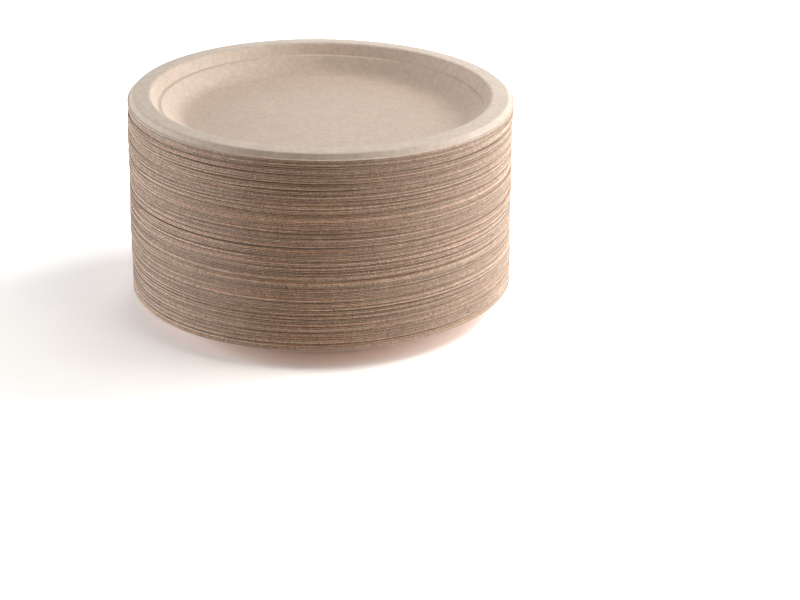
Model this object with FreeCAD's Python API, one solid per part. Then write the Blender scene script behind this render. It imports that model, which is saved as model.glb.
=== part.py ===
import FreeCAD, Part
import math
import os

# A stack of round dinner plates, each pressed from one sheet of unbleached plant fibre and nested in
# the plate below. Millimetres, +Z up. The origin is the middle of the base, on the surface it stands on.

# The stack
PLATE_COUNT = 125
NODE_LIMIT = 60           # files that the stack may fill, the top and bottom plates in one each
NEST_CLEARANCE = 0.121    # gap along the axis between the steepest walls of two nested plates
CLEARANCE_SWING = 0.3     # share of that gap by which it varies up the stack
CLEARANCE_WAVE = 7.3      # plates in one wave of that variation
CREEP_SHARE = 0.3         # share of the sideways play that each plate takes up
CREEP_TURN = 58.0         # plates in one turn of the sideways creep
TOP_LEAN = 1.55           # degrees by which the top plate leans, shared evenly by the plates below it
LEAN_HEADING = 24.4       # degrees from +X to the side that it leans to

# One plate, from its edge inwards
PLATE_DIAMETER = 254.0
WALL = 0.48               # thickness of the pressed fibre
FLANGE_WIDTH = 1.2
SKIRT_RUN = 2.1
SKIRT_DROP = 3.3
SHOULDER_RADIUS = 1.6
RIM_WIDTH = 11.6
RIM_RISE = 0.6
CREST_RADIUS = 1.2
UPPER_WALL_RUN = 4.9
UPPER_WALL_DROP = 7.2
LEDGE_WIDTH = 2.4
LEDGE_DROP = 0.3
LOWER_WALL_ANGLE = 44.0   # degrees from level
LOWER_WALL_DROP = 9.9
FLOOR_CURVE_RADIUS = 15.0

# How the curves are drawn. Only the top and bottom plates show more than their flange.
LEAST_ROUNDING = 1.2      # a smaller rounding than this is a sharp corner
HIDDEN_CURVE_FACETS = 2   # flats round the floor curve of a plate inside the stack


def floor_curve(floor_corner, rounded):
    """The corners that carry the floor up into the lower wall, as one true curve or as flats round it."""
    if rounded:
        return [(floor_corner, WALL, FLOOR_CURVE_RADIUS)]
    wall_angle = math.radians(LOWER_WALL_ANGLE)
    curve_start = floor_corner - FLOOR_CURVE_RADIUS * math.tan(wall_angle / 2)
    half_facet = wall_angle / (2 * (HIDDEN_CURVE_FACETS + 1))
    reach = FLOOR_CURVE_RADIUS / math.cos(half_facet)
    corners = []
    for number in range(HIDDEN_CURVE_FACETS + 1):
        angle = (2 * number + 1) * half_facet
        radius = curve_start + reach * math.sin(angle)
        height = WALL + FLOOR_CURVE_RADIUS - reach * math.cos(angle)
        corners.append((radius, height, 0.0))
    return corners


def face_corners(rounded):
    """The corners of a plate's upper face as (radius, height, rounding), from its centre to its edge."""
    flange_edge = PLATE_DIAMETER / 2
    skirt_foot = flange_edge - FLANGE_WIDTH
    shoulder = skirt_foot - SKIRT_RUN
    crest = shoulder - RIM_WIDTH
    ledge_outside = crest - UPPER_WALL_RUN
    ledge_inside = ledge_outside - LEDGE_WIDTH
    floor_corner = ledge_inside - LOWER_WALL_DROP / math.tan(math.radians(LOWER_WALL_ANGLE))
    ledge_inside_height = WALL + LOWER_WALL_DROP
    ledge_outside_height = ledge_inside_height + LEDGE_DROP
    crest_height = ledge_outside_height + UPPER_WALL_DROP
    shoulder_height = crest_height - RIM_RISE
    flange_height = shoulder_height - SKIRT_DROP
    return [
        (0.0, WALL, 0.0),
        *floor_curve(floor_corner, rounded),
        (ledge_inside, ledge_inside_height, 0.0),
        (ledge_outside, ledge_outside_height, 0.0),
        (crest, crest_height, CREST_RADIUS if rounded else 0.0),
        (shoulder, shoulder_height, SHOULDER_RADIUS if rounded else 0.0),
        (skirt_foot, flange_height, 0.0),
        (flange_edge, flange_height, 0.0),
    ]


def direction(start, end):
    """The unit direction from one corner to the next."""
    run = end[0] - start[0]
    rise = end[1] - start[1]
    length = math.hypot(run, rise)
    return run / length, rise / length


def corners_below(corners, depth):
    """The corners of the line that keeps the given depth below another, measured square to it."""
    first = corners[0]
    last = corners[-1]
    below = [(first[0], first[1] - depth, 0.0)]
    for before, corner, after in zip(corners, corners[1:], corners[2:]):
        run_in, rise_in = direction(before, corner)
        run_out, rise_out = direction(corner, after)
        reach = depth / (1 + run_in * run_out + rise_in * rise_out)
        radius = corner[0] + reach * (rise_in + rise_out)
        height = corner[1] - reach * (run_in + run_out)
        turns_up = run_in * rise_out > rise_in * run_out
        rounding = corner[2] + depth if turns_up else corner[2] - depth
        below.append((radius, height, rounding if corner[2] else 0.0))
    below.append((last[0], last[1] - depth, 0.0))
    return below


def point(radius, height):
    return FreeCAD.Vector(radius, 0, height)


def line_through(corners):
    """Edges along the corners, with a tangent arc at each corner that has a rounding."""
    edges = []
    start = point(corners[0][0], corners[0][1])
    for before, corner, after in zip(corners, corners[1:], corners[2:] + [None]):
        tip = point(corner[0], corner[1])
        if after is None or corner[2] < LEAST_ROUNDING:
            edges.append(Part.LineSegment(start, tip).toShape())
            start = tip
            continue
        back = point(before[0], before[1]).sub(tip).normalize()
        ahead = point(after[0], after[1]).sub(tip).normalize()
        half_angle = back.getAngle(ahead) / 2
        tangent = corner[2] / math.tan(half_angle)
        arc_start = tip + back * tangent
        arc_end = tip + ahead * tangent
        inward = (back + ahead).normalize()
        arc_middle = tip + inward * (corner[2] / math.sin(half_angle) - corner[2])
        edges.append(Part.LineSegment(start, arc_start).toShape())
        edges.append(Part.Arc(arc_start, arc_middle, arc_end).toShape())
        start = arc_end
    return edges


def make_plate(rounded):
    """One plate as a turned shell of even thickness, standing on its floor."""
    upper = face_corners(rounded)
    lower = corners_below(upper, WALL)
    edge_line = Part.LineSegment(point(*upper[-1][:2]), point(*lower[-1][:2])).toShape()
    axis_line = Part.LineSegment(point(*lower[0][:2]), point(*upper[0][:2])).toShape()
    outline = line_through(upper) + [edge_line] + line_through(lower)[::-1] + [axis_line]
    section = Part.Face(Part.Wire(Part.__sortEdges__(outline)))
    return section.revolve(FreeCAD.Vector(0, 0, 0), FreeCAD.Vector(0, 0, 1), 360)


def steepest_slope():
    """The slope of the steepest wall, which is the one that two nested plates meet on first."""
    corners = face_corners(False)
    return max(abs(b[1] - a[1]) / (b[0] - a[0]) for a, b in zip(corners, corners[1:]))


def plate_places():
    """Where each plate sits and how it leans, from the bottom plate up. Each rises along the axis of
    the plate below, so the stack curves a little to the side that it leans to."""
    slope = steepest_slope()
    wall_along_axis = WALL * math.hypot(1, slope)
    least_clearance = NEST_CLEARANCE * (1 - CLEARANCE_SWING)
    creep = CREEP_SHARE * least_clearance / slope
    heading = math.radians(LEAN_HEADING)
    lean_axis = FreeCAD.Vector(-math.sin(heading), math.cos(heading), 0)
    places = [FreeCAD.Placement()]
    for index in range(1, PLATE_COUNT):
        wave = math.sin(2 * math.pi * index / CLEARANCE_WAVE)
        turn = 2 * math.pi * index / CREEP_TURN
        rise = wall_along_axis + NEST_CLEARANCE * (1 + CLEARANCE_SWING * wave)
        step = FreeCAD.Vector(creep * math.cos(turn), creep * math.sin(turn), rise)
        lean = FreeCAD.Rotation(lean_axis, TOP_LEAN * index / (PLATE_COUNT - 1))
        places.append(FreeCAD.Placement(places[-1].multVec(step), lean))
    return places


def placed(plate, place):
    copy = plate.copy()
    copy.Placement = place
    return copy


def centred(plate, places):
    """The same places, moved so that the stack's outline is centred on the origin."""
    boxes = [placed(plate, place).BoundBox for place in places]
    middle_x = (max(box.XMax for box in boxes) + min(box.XMin for box in boxes)) / 2
    middle_y = (max(box.YMax for box in boxes) + min(box.YMin for box in boxes)) / 2
    shift = FreeCAD.Vector(-middle_x, -middle_y, 0)
    return [FreeCAD.Placement(place.Base + shift, place.Rotation) for place in places]


def write_node(name, plate, places):
    """Writes the plates at these places as one node."""
    copies = [placed(plate, place) for place in places]
    shape = copies[0] if len(copies) == 1 else Part.makeCompound(copies)
    shape.exportStep("parts/" + name + ".step")


def main():
    os.makedirs("parts", exist_ok=True)
    shown_plate = make_plate(True)
    hidden_plate = make_plate(False)
    places = centred(hidden_plate, plate_places())
    write_node("bottom_plate", shown_plate, places[:1])
    inner_count = PLATE_COUNT - 2
    inner_nodes = min(NODE_LIMIT - 2, inner_count)
    for number in range(inner_nodes):
        start = 1 + inner_count * number // inner_nodes
        end = 1 + inner_count * (number + 1) // inner_nodes
        write_node("plates_%03d_to_%03d" % (start + 1, end), hidden_plate, places[start:end])
    write_node("top_plate", shown_plate, places[-1:])
    print("height of the stack", placed(shown_plate, places[-1]).BoundBox.ZMax)
    print("base of the bottom plate", places[0].Base)
    print("base of the top plate", places[-1].Base)


main()
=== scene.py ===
import math

import bpy
import numpy as np
from mathutils import Matrix, Vector


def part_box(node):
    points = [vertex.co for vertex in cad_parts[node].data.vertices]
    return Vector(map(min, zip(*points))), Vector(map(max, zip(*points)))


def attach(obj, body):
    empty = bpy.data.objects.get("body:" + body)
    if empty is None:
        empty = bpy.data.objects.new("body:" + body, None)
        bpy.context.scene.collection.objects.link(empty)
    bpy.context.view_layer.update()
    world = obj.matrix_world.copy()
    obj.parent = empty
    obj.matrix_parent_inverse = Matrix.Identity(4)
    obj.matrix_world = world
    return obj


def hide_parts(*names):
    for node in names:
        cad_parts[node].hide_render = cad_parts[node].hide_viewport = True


# The looks of a tall stack of round plates, each pressed from unbleached plant fibre. Metres, +Z up.
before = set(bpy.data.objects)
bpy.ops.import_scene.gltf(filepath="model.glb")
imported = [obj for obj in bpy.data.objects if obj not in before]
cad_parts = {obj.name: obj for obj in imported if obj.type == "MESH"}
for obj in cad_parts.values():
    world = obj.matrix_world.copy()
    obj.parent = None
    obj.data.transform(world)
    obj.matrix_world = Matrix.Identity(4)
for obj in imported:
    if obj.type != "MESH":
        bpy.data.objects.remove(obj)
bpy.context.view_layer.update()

MM = 0.001

# One plate's section, the same sizes as the solids
PLATE_RADIUS = 127.0 * MM
WALL = 0.48 * MM
FLANGE_WIDTH = 1.2 * MM
SKIRT_RUN = 2.1 * MM
SKIRT_DROP = 3.3 * MM
RIM_WIDTH = 11.6 * MM
RIM_RISE = 0.6 * MM
UPPER_WALL_RUN = 4.9 * MM
UPPER_WALL_DROP = 7.2 * MM
LEDGE_WIDTH = 2.4 * MM
LEDGE_DROP = 0.3 * MM
LOWER_WALL_ANGLE = math.radians(44)
LOWER_WALL_DROP = 9.9 * MM
FLOOR_CURVE_RADIUS = 15.0 * MM
SHOULDER_RADIUS = 1.6 * MM

# The finer roundings that the pressing leaves
PRESSED_CREST_RADIUS = 3.0 * MM
LEDGE_ROUNDING = 0.6 * MM
FOOT_ROUNDING = 0.5 * MM
EDGE_BEVEL = 0.12 * MM

# How the plates nest and lean, the same values as the solids
NEST_CLEARANCE = 0.121 * MM
CLEARANCE_SWING = 0.3
CLEARANCE_WAVE = 7.3
CREEP_SHARE = 0.3
CREEP_TURN = 58.0
TOP_LEAN = math.radians(1.55)
LEAN_HEADING = math.radians(24.4)

# How the edges differ from plate to plate. Each unevenness is a sum of waves round the plate, as many
# as its WAVES say, and the shorter ones are weaker by its WAVE_FADE.
GAP_WAVE_FADE = 0.6
LEAST_GAP = 0.3           # a gap drawn smaller than this share of its spread is closed
GROUP_PLATES = 5          # plates over which the uneven rises and bends even out
RISE_SPREAD = 0.18 * MM   # how unevenly the rims rise one above the other
RISE_WAVES = 5
RISE_FADE_PLATES = 4      # plates over which the rises die away at either end of the stack
BEND_SPREAD = 0.50 * MM   # how unevenly the flanges bend up and down
BEND_WAVES = 7
BEND_MOST = 0.45 * MM
TRIM_MIDDLE = 0.32 * MM   # how far the edges fall short of the full radius
TRIM_SPREAD = 0.34 * MM
TRIM_WAVES = 6
TRIM_WAVE_FADE = 0.7
TRIM_MOST = 0.9 * MM
TONE_WAVES = 8
TONE_WAVE_FADE = 1.0
TONE_STEP = 0.8           # how far a plate's tone swings away from the one below
TOP_GAP = 0.5 * MM        # how far the flanges below the top plate, which lies loose, hang clear of it
TOP_GAP_TRIM = 0.3 * MM   # and how much further they lie back from its edge
TOP_GAP_PLATES = 4        # plates over which that gap dies away
TOP_DROOP = 0.3 * MM      # how far the top plate's own flange droops

# How finely the meshes are divided
ROUND_STEPS = 720         # points round a plate at which its unevenness is worked out
SHOWN_STEPS = 360         # divisions round a plate that shows whole
FLANGE_STEPS = 180        # divisions round the rim and flange of a nested plate
HIDDEN_STEPS = 45         # divisions round the rest of a nested plate
HIDDEN_RADIUS = 116.0 * MM      # inside this a nested plate is out of sight
SHOWN_STRETCH = 4 * MM          # longest step along the section of a plate that shows whole
SHOWN_TURN = math.radians(7)    # turn from step to step in its roundings
NESTED_TURN = math.radians(16)  # and in those of a nested plate
SHARP_ANGLE = math.radians(35)  # a corner sharper than this has a hard edge

# Colours, as sRGB bytes
FACE_COLOUR = (211, 190, 173)
PAINTED_RIM_LIGHT = (214, 198, 183)      # painted light: a little paler and greyer than the well, for the fuller light and sheen on the rim
EDGE_COLOUR = (219, 203, 188)     # the rougher, torn edges of the nested plates
PAINTED_RECESS_SHADE = (201, 165, 134)   # painted shade: darker, browner fibre in the recesses behind the flanges of the nested plates
SPECK_COLOUR = (120, 97, 80)

# How fine the fibre's patterns are, in noise cells to a metre, and how strong
PLATE_TONE = 0.175        # how much paler or darker the plates are than each other
CLOUD_SCALE = 90          # soft pale and dark patches about a centimetre across
CLOUD_SWING = 0.045
MOTTLE_SCALE = 320        # mottling of two or three millimetres
FIBRE_SCALE = 1300        # single fibres
RELIEF_SCALE = 600        # the unevenness that the pressing screen and the fibres leave
RELIEF_STRENGTH = 0.35
RELIEF_DEPTH = 0.3 * MM
SPECK_SCALE = 80
SPECK_SHARE = 0.07        # share of the speck cells that hold a speck
SPECK_RADIUS = 0.07       # a speck's size in its cell
SPECK_CORE = 0.035        # and that of its fully dark middle
NOISE_LOW = 0.25          # between these two a noise swings from its palest to its darkest
NOISE_HIGH = 0.75

# Floor and background. A strength of 1 shows as plain white.
WHITE = (1.0, 1.0, 1.0, 1.0)
WHITE_STRENGTH = 1.0
WORLD_STRENGTH = 0.14     # soft light from all round
CARD_SENT = (0.95, 0.7, 0.56, 1.0)    # what the floor sends back onto the stack, a little warm
CARD_SHOWN = (1.85, 1.85, 1.85, 1.0)  # what it shows the camera: plain white outside the shadow
SHADOW_REACH = 0.55       # how far from the origin the floor shows its shading
PLAIN_REACH = 0.95        # and from where it is plain white
FLOOR_SIZE = 8.0
FLOOR_MIDDLE = (0.0, 2.0, 0.0)

# Soft round lamps: name, degrees round from the back towards the right, degrees up, distance from the
# point that they light, width, watts and colour
LAMP_TARGET = Vector((0, 0, 0.1))
COOL = (0.92, 0.96, 1.0)
PLAIN = (1.0, 1.0, 1.0)
WARM = (1.0, 0.9, 0.74)
LAMPS = [
    ("right_lamp", 95, 12, 1.2, 0.68, 6.9, COOL),
    ("high_right_lamp", 70, 35, 1.2, 0.68, 9.3, PLAIN),
    ("top_lamp", 120, 60, 1.6, 0.9, 5.0, WARM),
    ("back_lamp", 15, 12, 1.6, 0.9, 4.2, PLAIN),
    ("left_lamp", -80, 10, 1.6, 0.8, 18.2, COOL),
]

# Camera, where the photograph was taken from
FRAME_WIDTH_PX = 800
FOCAL_PX = 2634
SENSOR_WIDTH = 36.0
CLIP_NEAR = 0.05
CLIP_FAR = 50
CAMERA_PLACE = Vector((-0.01819, -1.65036, 0.69062))
CAMERA_YAW = math.radians(2.432)
CAMERA_PITCH = math.radians(22.876)
CAMERA_ROLL = math.radians(-0.474)

rng = np.random.default_rng(20)


def plate_corners(shown):
    """The corners of a plate's upper face as (radius, height, rounding), from its centre to its edge."""
    skirt_foot = PLATE_RADIUS - FLANGE_WIDTH
    shoulder = skirt_foot - SKIRT_RUN
    crest = shoulder - RIM_WIDTH
    ledge_outside = crest - UPPER_WALL_RUN
    ledge_inside = ledge_outside - LEDGE_WIDTH
    floor_corner = ledge_inside - LOWER_WALL_DROP / math.tan(LOWER_WALL_ANGLE)
    ledge_inside_height = WALL + LOWER_WALL_DROP
    ledge_outside_height = ledge_inside_height + LEDGE_DROP
    crest_height = ledge_outside_height + UPPER_WALL_DROP
    shoulder_height = crest_height - RIM_RISE
    flange_height = shoulder_height - SKIRT_DROP
    fine = 1.0 if shown else 0.0
    return [
        (0.0, WALL, 0.0),
        (floor_corner, WALL, FLOOR_CURVE_RADIUS),
        (ledge_inside, ledge_inside_height, LEDGE_ROUNDING * fine),
        (ledge_outside, ledge_outside_height, LEDGE_ROUNDING * fine),
        (crest, crest_height, PRESSED_CREST_RADIUS * fine),
        (shoulder, shoulder_height, SHOULDER_RADIUS * fine),
        (skirt_foot, flange_height, FOOT_ROUNDING * fine),
        (PLATE_RADIUS, flange_height, 0.0),
    ]


def corners_below(corners, depth):
    """The corners of the line that keeps the given depth below another, measured square to it."""
    points = np.array([c[:2] for c in corners])
    ways = np.diff(points, axis=0)
    ways /= np.linalg.norm(ways, axis=1)[:, None]
    below = [(points[0, 0], points[0, 1] - depth, 0.0)]
    for (radius, height, rounding), a, b in zip(corners[1:-1], ways, ways[1:]):
        reach = depth / (1 + a @ b)
        turns_up = a[0] * b[1] > a[1] * b[0]
        rounding = max(rounding + (depth if turns_up else -depth), 0.0) if rounding else 0.0
        below.append((radius + reach * (a[1] + b[1]), height - reach * (a[0] + b[0]), rounding))
    below.append((points[-1, 0], points[-1, 1] - depth, 0.0))
    return below


def rounded_line(corners, turn_per_step):
    """Points along the corners, with each rounding drawn as a tangent arc."""
    line = [corners[0][:2]]
    for before, corner, after in zip(corners, corners[1:], corners[2:]):
        tip = np.array(corner[:2])
        if corner[2] == 0.0:
            line.append(tuple(tip))
            continue
        back = np.array(before[:2]) - tip
        ahead = np.array(after[:2]) - tip
        back /= np.linalg.norm(back)
        ahead /= np.linalg.norm(ahead)
        half_angle = math.acos(np.clip(back @ ahead, -1, 1)) / 2
        turn = math.pi - 2 * half_angle
        middle = tip + (back + ahead) / np.linalg.norm(back + ahead) * corner[2] / math.sin(half_angle)
        spoke = tip + back * corner[2] / math.tan(half_angle) - middle
        way = 1 if back[0] * ahead[1] < back[1] * ahead[0] else -1
        steps = max(2, math.ceil(turn / turn_per_step))
        for number in range(steps + 1):
            angle = way * turn * number / steps
            line.append((middle[0] + spoke[0] * math.cos(angle) - spoke[1] * math.sin(angle),
                         middle[1] + spoke[0] * math.sin(angle) + spoke[1] * math.cos(angle)))
    line.append(corners[-1][:2])
    return line


def divided(line, longest):
    """The line with its long stretches divided, so that no step is longer than asked."""
    points = [line[0]]
    for a, b in zip(line, line[1:]):
        count = max(1, math.ceil(math.dist(a, b) / longest))
        for number in range(1, count + 1):
            share = number / count
            points.append((a[0] + (b[0] - a[0]) * share, a[1] + (b[1] - a[1]) * share))
    return points


def closed_section(shown):
    """The whole outline of a plate's wall, over the upper face from the centre and back below it."""
    turn_per_step = SHOWN_TURN if shown else NESTED_TURN
    longest = SHOWN_STRETCH if shown else math.inf
    corners = plate_corners(shown)
    upper = divided(rounded_line(corners, turn_per_step), longest)
    lower = divided(rounded_line(corners_below(corners, WALL), turn_per_step), longest)
    edge_radius, edge_top = upper.pop()
    edge_low = lower.pop()[1]
    edge = [
        (edge_radius - EDGE_BEVEL, edge_top),
        (edge_radius, edge_top - EDGE_BEVEL),
        (edge_radius, edge_low + EDGE_BEVEL),
        (edge_radius - EDGE_BEVEL, edge_low),
    ]
    return upper + edge + lower[::-1]


# The last of the nested plates is the one below the top plate
PLATE_COUNT = 1 + max(int(node[-3:]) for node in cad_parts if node.startswith("plates_"))


def plate_numbers(node):
    """The numbers of the plates in a node, counted from 0 at the bottom of the stack."""
    if node == "bottom_plate":
        return [0]
    if node == "top_plate":
        return [PLATE_COUNT - 1]
    first, last = node[len("plates_"):].split("_to_")
    return list(range(int(first) - 1, int(last)))


def plate_places():
    """Where each plate sits and how it leans, from the bottom plate up. Each rises along the axis of
    the plate below, so the stack curves a little to the side that it leans to."""
    slope = SKIRT_DROP / SKIRT_RUN
    wall_along_axis = WALL * math.hypot(1, slope)
    creep = CREEP_SHARE * NEST_CLEARANCE * (1 - CLEARANCE_SWING) / slope
    lean_axis = Vector((-math.sin(LEAN_HEADING), math.cos(LEAN_HEADING), 0))
    low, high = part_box("bottom_plate")
    places = [Matrix.Translation(((low.x + high.x) / 2, (low.y + high.y) / 2, 0))]
    for index in range(1, PLATE_COUNT):
        wave = math.sin(2 * math.pi * index / CLEARANCE_WAVE)
        turn = 2 * math.pi * index / CREEP_TURN
        rise = wall_along_axis + NEST_CLEARANCE * (1 + CLEARANCE_SWING * wave)
        step = Vector((creep * math.cos(turn), creep * math.sin(turn), rise))
        lean = Matrix.Rotation(TOP_LEAN * index / (PLATE_COUNT - 1), 4, lean_axis)
        places.append(Matrix.Translation(places[-1] @ step) @ lean)
    return places


def uneven_round(waves, fade):
    """A smooth random curve round a plate, about zero and with a spread of about one."""
    angles = np.arange(ROUND_STEPS) * 2 * math.pi / ROUND_STEPS
    curve = np.full(ROUND_STEPS, rng.normal())
    for count in range(1, waves + 1):
        curve += rng.normal() * np.cos(count * angles + rng.uniform(0, 2 * math.pi)) / count ** fade
    spread = math.sqrt(1 + sum(0.5 / count ** (2 * fade) for count in range(1, waves + 1)))
    return curve / spread


def uneven_heights(spread, waves):
    """How far each plate stands above or below its even place. Most plates lie close to the one below,
    and some leave a wider gap, so the stack shows small groups of plates."""
    draws = np.array([uneven_round(waves, GAP_WAVE_FADE) for _ in range(PLATE_COUNT)])
    gaps = np.maximum(draws - LEAST_GAP, 0) * spread
    heights = np.cumsum(gaps, axis=0)
    half = GROUP_PLATES // 2
    padded = np.pad(heights, ((half, half), (0, 0)), mode="reflect", reflect_type="odd")
    trend = np.array([padded[k:k + GROUP_PLATES].mean(axis=0) for k in range(PLATE_COUNT)])
    return heights - trend


def fade_at_ends(curves, plates=1):
    """The same curves, dying away over this many plates to none at the top and bottom plates."""
    numbers = np.arange(PLATE_COUNT)
    share = np.minimum(numbers, PLATE_COUNT - 1 - numbers) / plates
    return curves * np.clip(share, 0, 1)[:, None]


def flange_share(radius):
    """How much of its flange's bend and trim a ring takes: none at the skirt's foot, all at the edge."""
    skirt_foot = PLATE_RADIUS - FLANGE_WIDTH
    return min(max((radius - skirt_foot) / FLANGE_WIDTH, 0), 1)


def rim_share(radius):
    """How much of its rim's rise and tone a ring takes: none at the crest, all beyond the shoulder."""
    shoulder = PLATE_RADIUS - FLANGE_WIDTH - SKIRT_RUN
    return min(max((radius - shoulder + RIM_WIDTH) / RIM_WIDTH, 0), 1)


def painted_zone_share(radius, shown):
    """How much of its plate's painted second colour a ring takes: the rim's painted light on a plate that
    shows whole, and the painted shade of the recess behind the flange of a nested one."""
    if not shown:
        return rim_share(radius) - flange_share(radius)
    crest = PLATE_RADIUS - FLANGE_WIDTH - SKIRT_RUN - RIM_WIDTH
    return min(max((radius - crest) / PRESSED_CREST_RADIUS + 0.5, 0), 1)


def plate_edges():
    """For each plate, how its rim rises, its flange bends, its edge is trimmed and its tone differs.
    The tones swing most from one plate to the next, so the edges read as fine lines."""
    rises = fade_at_ends(uneven_heights(RISE_SPREAD, RISE_WAVES), RISE_FADE_PLATES)
    bends = np.clip(uneven_heights(BEND_SPREAD, BEND_WAVES), -BEND_MOST, BEND_MOST)
    draws = np.array([uneven_round(TONE_WAVES, TONE_WAVE_FADE) for _ in range(PLATE_COUNT + 1)])
    tones = fade_at_ends(draws[1:] - TONE_STEP * draws[:-1])
    shortfalls = np.array([uneven_round(TRIM_WAVES, TRIM_WAVE_FADE) for _ in range(PLATE_COUNT)])
    trims = TRIM_MIDDLE + TRIM_SPREAD * shortfalls
    for below in range(TOP_GAP_PLATES):
        number = PLATE_COUNT - 2 - below
        share = 1 - below / TOP_GAP_PLATES
        bends[number] = bends[number] * (1 - share) - TOP_GAP * share
        trims[number] += TOP_GAP_TRIM * share
    bends = fade_at_ends(bends)
    bends[-1] -= TOP_DROOP
    trims = fade_at_ends(np.clip(trims, 0, TRIM_MOST))
    return list(zip(rises, bends, trims, tones))


def plate_rings(place, shown, edge):
    """The rings of points of one plate, with each point's tone and its share of the second colour, which
    paints light on a shown plate's rim and shade in a nested plate's recess.
    """
    rise, bend, trim, tone = edge
    turn = np.array(place.to_3x3())
    rings, tones, painted_zones = [], [], []
    for radius, height in closed_section(shown):
        steps = SHOWN_STEPS
        if not shown:
            steps = FLANGE_STEPS if radius > HIDDEN_RADIUS else HIDDEN_STEPS
        if radius == 0:
            steps = 1
        stride = ROUND_STEPS // steps
        angles = np.arange(steps) * 2 * math.pi / steps
        radii = np.full(steps, radius) - trim[::stride] * flange_share(radius)
        heights = height + rise[::stride] * rim_share(radius) + bend[::stride] * flange_share(radius)
        ring = np.stack([radii * np.cos(angles), radii * np.sin(angles), heights], axis=1)
        rings.append(ring @ turn.T + np.array(place.translation))
        tones.append(tone[::stride] * rim_share(radius))
        # share of the painted second colour: painted light on a shown plate's rim, painted shade in a
        # nested plate's recess
        painted_zones.append(np.full(steps, painted_zone_share(radius, shown)))
    return rings, tones, painted_zones


def faces_between(a_start, a_count, b_start, b_count):
    """Faces from one ring to the next. One ring has as many points as the other, or a whole number
    of times as many, or a single point."""
    def a(k):
        return a_start + k % a_count

    def b(k):
        return b_start + k % b_count

    if a_count == b_count:
        return [(a(k), b(k), b(k + 1), a(k + 1)) for k in range(a_count)]
    if a_count == 1:
        return [(a(0), b(k), b(k + 1)) for k in range(b_count)]
    if b_count == 1:
        return [(a(k), b(0), a(k + 1)) for k in range(a_count)]
    if b_count < a_count:
        return [face[::-1] for face in faces_between(b_start, b_count, a_start, a_count)]
    ratio = b_count // a_count
    half = ratio // 2
    faces = []
    for k in range(a_count):
        first = k * ratio
        faces += [(a(k), b(first + j), b(first + j + 1)) for j in range(half)]
        faces += [(a(k), b(first + half), a(k + 1))]
        faces += [(a(k + 1), b(first + j), b(first + j + 1)) for j in range(half, ratio)]
    return faces


def plates_to_mesh(name, plates):
    """One closed turned mesh for each plate, given as its rings, tones and painted zones, all in one
    mesh.
    """
    points, tones, painted_zones, faces = [], [], [], []
    start = 0
    for rings, ring_tones, ring_painted_zones in plates:
        for number, ring in enumerate(rings):
            if number + 1 < len(rings):
                faces += faces_between(start, len(ring), start + len(ring), len(rings[number + 1]))
            start += len(ring)
        points += rings
        tones += ring_tones
        painted_zones += ring_painted_zones
    mesh = bpy.data.meshes.new(name)
    mesh.from_pydata(np.concatenate(points), [], faces)
    mesh.update()
    for label, values in (("tone", tones), ("painted_zone", painted_zones)):
        attribute = mesh.attributes.new(label, "FLOAT", "POINT")
        attribute.data.foreach_set("value", np.concatenate(values).astype(np.float32))
    mesh.polygons.foreach_set("use_smooth", [True] * len(mesh.polygons))
    mesh.set_sharp_from_angle(angle=SHARP_ANGLE)
    return mesh


def add(tree, kind, inputs=None, **settings):
    """A new node with its settings, and with its inputs set to values or linked to other sockets."""
    made = tree.nodes.new(kind)
    for key, value in settings.items():
        setattr(made, key, value)
    for key, value in (inputs or {}).items():
        if isinstance(value, bpy.types.NodeSocket):
            tree.links.new(value, made.inputs[key])
        else:
            made.inputs[key].default_value = value
    return made


def new_material(name):
    made = bpy.data.materials.new(name)
    made.use_nodes = True
    made.node_tree.nodes.clear()
    return made, made.node_tree


def linear(colour):
    """A colour given as sRGB bytes, as the linear colour that a shader takes."""
    parts = []
    for byte in colour:
        value = byte / 255
        parts.append(value / 12.92 if value <= 0.04045 else ((value + 0.055) / 1.055) ** 2.4)
    return (*parts, 1.0)


def product(tree, first, second):
    return add(tree, "ShaderNodeMath", {0: first, 1: second}, operation="MULTIPLY").outputs[0]


def blend(tree, share, first, second):
    """The first colour turned into the second by this share."""
    return add(tree, "ShaderNodeMix", {"Factor": share, 6: first, 7: second}, data_type="RGBA").outputs[2]


def between(tree, value, low, high, at_low, at_high, **settings):
    """A value that goes from one figure to another while the given value goes from low to high."""
    return add(tree, "ShaderNodeMapRange",
               {"Value": value, "From Min": low, "From Max": high, "To Min": at_low, "To Max": at_high},
               **settings).outputs["Result"]


def noise(tree, place, scale, **more):
    return add(tree, "ShaderNodeTexNoise", {"Vector": place, "Scale": scale, **more}).outputs["Fac"]


def tone_from(tree, pattern, swing):
    """A factor about one that follows a noise, up or down by the given swing."""
    return between(tree, pattern, NOISE_LOW, NOISE_HIGH, 1 - swing, 1 + swing)


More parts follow.
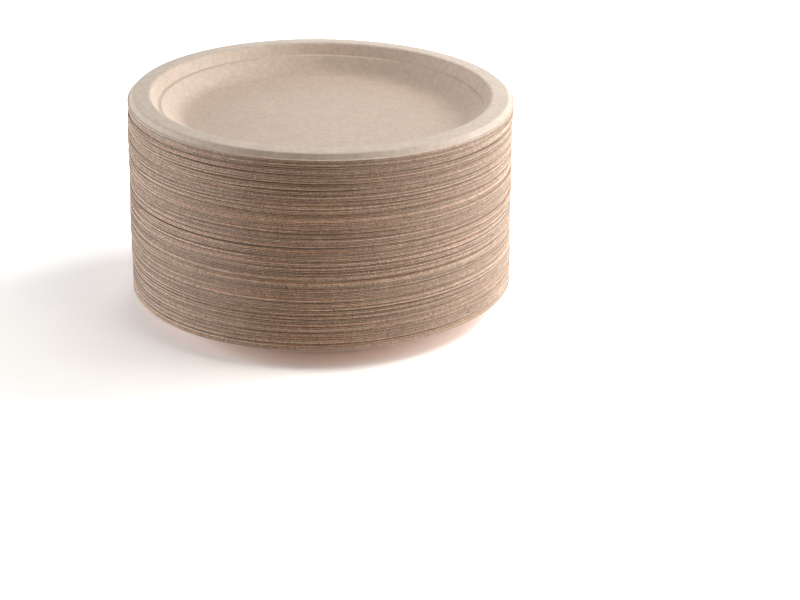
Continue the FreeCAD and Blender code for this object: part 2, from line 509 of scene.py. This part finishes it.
def fibre_material(name, surface_colour, painted_zone_colour, mottle_swing, fibre_swing, gloss, roughness):
    """Pressed plant fibre: a faintly mottled tan with fine fibres, a few dark specks and a dull face."""
    made, tree = new_material(name)
    place = add(tree, "ShaderNodeTexCoord").outputs["Object"]
    clouds = noise(tree, place, CLOUD_SCALE, Detail=2)
    mottle = noise(tree, place, MOTTLE_SCALE, Detail=3, Roughness=0.6)
    fibres = noise(tree, place, FIBRE_SCALE, Detail=3, Roughness=0.65, Distortion=1.4)
    relief = noise(tree, place, RELIEF_SCALE, Detail=4, Roughness=0.7)
    own_tone = add(tree, "ShaderNodeAttribute", attribute_name="tone").outputs["Fac"]
    plate_tone = add(tree, "ShaderNodeMath", {0: own_tone, 1: PLATE_TONE, 2: 1.0},
                     operation="MULTIPLY_ADD").outputs[0]
    wide_tone = product(tree, tone_from(tree, clouds, CLOUD_SWING), tone_from(tree, mottle, mottle_swing))
    fine_tone = product(tree, tone_from(tree, fibres, fibre_swing), plate_tone)
    # painted light and shade: this attribute blends in the paler rim colour on shown plates and the
    # darker recess colour on nested ones
    painted_zone = add(tree, "ShaderNodeAttribute", attribute_name="painted_zone").outputs["Fac"]
    shade = blend(tree, painted_zone, linear(surface_colour), linear(painted_zone_colour))
    plain = add(tree, "ShaderNodeVectorMath", {0: shade, "Scale": product(tree, wide_tone, fine_tone)},
                operation="SCALE").outputs[0]
    cells = add(tree, "ShaderNodeTexVoronoi", {"Vector": place, "Scale": SPECK_SCALE})
    speck = between(tree, cells.outputs["Distance"], SPECK_CORE, SPECK_RADIUS, 1.0, 0.0)
    cell_draw = add(tree, "ShaderNodeSeparateColor", {"Color": cells.outputs["Color"]}).outputs["Red"]
    chosen = add(tree, "ShaderNodeMath", {0: cell_draw, 1: SPECK_SHARE}, operation="LESS_THAN").outputs[0]
    colour = blend(tree, product(tree, speck, chosen), plain, linear(SPECK_COLOUR))
    bump = add(tree, "ShaderNodeBump",
               {"Height": relief, "Strength": RELIEF_STRENGTH, "Distance": RELIEF_DEPTH})
    shader = add(tree, "ShaderNodeBsdfPrincipled",
                 {"Base Color": colour, "Roughness": roughness, "Specular IOR Level": gloss,
                  "Normal": bump.outputs["Normal"]})
    add(tree, "ShaderNodeOutputMaterial", {"Surface": shader.outputs["BSDF"]})
    return made


def build_plates():
    """One piece for each node, in the look of pressed fibre."""
    # the face look paints its rim paler (painted light); the edge look paints the recesses behind the
    # flanges darker (painted shade)
    face_fibre = fibre_material("pressed_face_look", FACE_COLOUR, PAINTED_RIM_LIGHT,
                                mottle_swing=0.12, fibre_swing=0.08, gloss=0.5, roughness=0.6)
    edge_fibre = fibre_material("rough_edge_look", EDGE_COLOUR, PAINTED_RECESS_SHADE,
                                mottle_swing=0.13, fibre_swing=1.0, gloss=0.2, roughness=0.8)
    places = plate_places()
    edges = plate_edges()
    for node in sorted(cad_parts):
        shown = node in ("top_plate", "bottom_plate")
        plates = [plate_rings(places[number], shown, edges[number]) for number in plate_numbers(node)]
        mesh = plates_to_mesh(node + "_fibre", plates)
        mesh.materials.append(face_fibre if shown else edge_fibre)
        piece = bpy.data.objects.new(node + "_fibre", mesh)
        bpy.context.collection.objects.link(piece)
        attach(piece, "root")
        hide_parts(node)


def add_floor():
    """A pale card that shows the stack's shadow and turns plain white away from it."""
    made, tree = new_material("floor_card")
    card = add(tree, "ShaderNodeBsdfDiffuse", {"Color": CARD_SENT})
    shown = add(tree, "ShaderNodeBsdfDiffuse", {"Color": CARD_SHOWN})
    plain = add(tree, "ShaderNodeEmission", {"Color": WHITE, "Strength": WHITE_STRENGTH})
    place = add(tree, "ShaderNodeNewGeometry").outputs["Position"]
    away = add(tree, "ShaderNodeVectorMath", {0: place}, operation="LENGTH").outputs["Value"]
    far = between(tree, away, SHADOW_REACH, PLAIN_REACH, 0.0, 1.0, interpolation_type="SMOOTHSTEP")
    white = add(tree, "ShaderNodeMixShader", {0: far, 1: shown.outputs[0], 2: plain.outputs[0]})
    seen = add(tree, "ShaderNodeLightPath").outputs["Is Camera Ray"]
    mixed = add(tree, "ShaderNodeMixShader", {0: seen, 1: card.outputs[0], 2: white.outputs[0]})
    add(tree, "ShaderNodeOutputMaterial", {"Surface": mixed.outputs[0]})
    bpy.ops.mesh.primitive_plane_add(size=FLOOR_SIZE, location=FLOOR_MIDDLE)
    floor = bpy.context.object
    floor.name = "floor"
    floor.data.materials.append(made)


def add_world():
    """Soft light from all round, and plain white where the camera or a reflection sees past the floor."""
    world = bpy.data.worlds.new("studio")
    bpy.context.scene.world = world
    world.use_nodes = True
    tree = world.node_tree
    tree.nodes.clear()
    path = add(tree, "ShaderNodeLightPath")
    seen = add(tree, "ShaderNodeMath",
               {0: path.outputs["Is Camera Ray"], 1: path.outputs["Is Glossy Ray"]},
               operation="MAXIMUM").outputs[0]
    soft = add(tree, "ShaderNodeBackground", {"Color": WHITE, "Strength": WORLD_STRENGTH})
    white = add(tree, "ShaderNodeBackground", {"Color": WHITE, "Strength": WHITE_STRENGTH})
    mixed = add(tree, "ShaderNodeMixShader", {0: seen, 1: soft.outputs[0], 2: white.outputs[0]})
    add(tree, "ShaderNodeOutputWorld", {"Surface": mixed.outputs[0]})


def add_lamps():
    for name, round_from_back, up, distance, width, watts, colour in LAMPS:
        round_angle = math.radians(round_from_back)
        rise = math.radians(up)
        way = Vector((math.sin(round_angle) * math.cos(rise), math.cos(round_angle) * math.cos(rise),
                      math.sin(rise)))
        data = bpy.data.lights.new(name, "AREA")
        data.shape = "DISK"
        data.size = width
        data.energy = watts
        data.color = colour
        lamp = bpy.data.objects.new(name, data)
        bpy.context.collection.objects.link(lamp)
        lamp.location = LAMP_TARGET + way * distance
        lamp.rotation_mode = "QUATERNION"
        lamp.rotation_quaternion = (-way).to_track_quat("-Z", "Y")


def add_camera():
    data = bpy.data.cameras.new("camera")
    data.sensor_width = SENSOR_WIDTH
    data.lens = FOCAL_PX * SENSOR_WIDTH / FRAME_WIDTH_PX
    data.clip_start = CLIP_NEAR
    data.clip_end = CLIP_FAR
    camera = bpy.data.objects.new("camera", data)
    bpy.context.collection.objects.link(camera)
    aim = Matrix.Rotation(-CAMERA_YAW, 4, "Z") @ Matrix.Rotation(math.pi / 2 - CAMERA_PITCH, 4, "X")
    camera.matrix_world = Matrix.Translation(CAMERA_PLACE) @ aim @ Matrix.Rotation(CAMERA_ROLL, 4, "Z")
    bpy.context.scene.camera = camera


build_plates()
add_floor()
add_world()
add_lamps()
add_camera()
bpy.context.scene.view_settings.view_transform = "Standard"
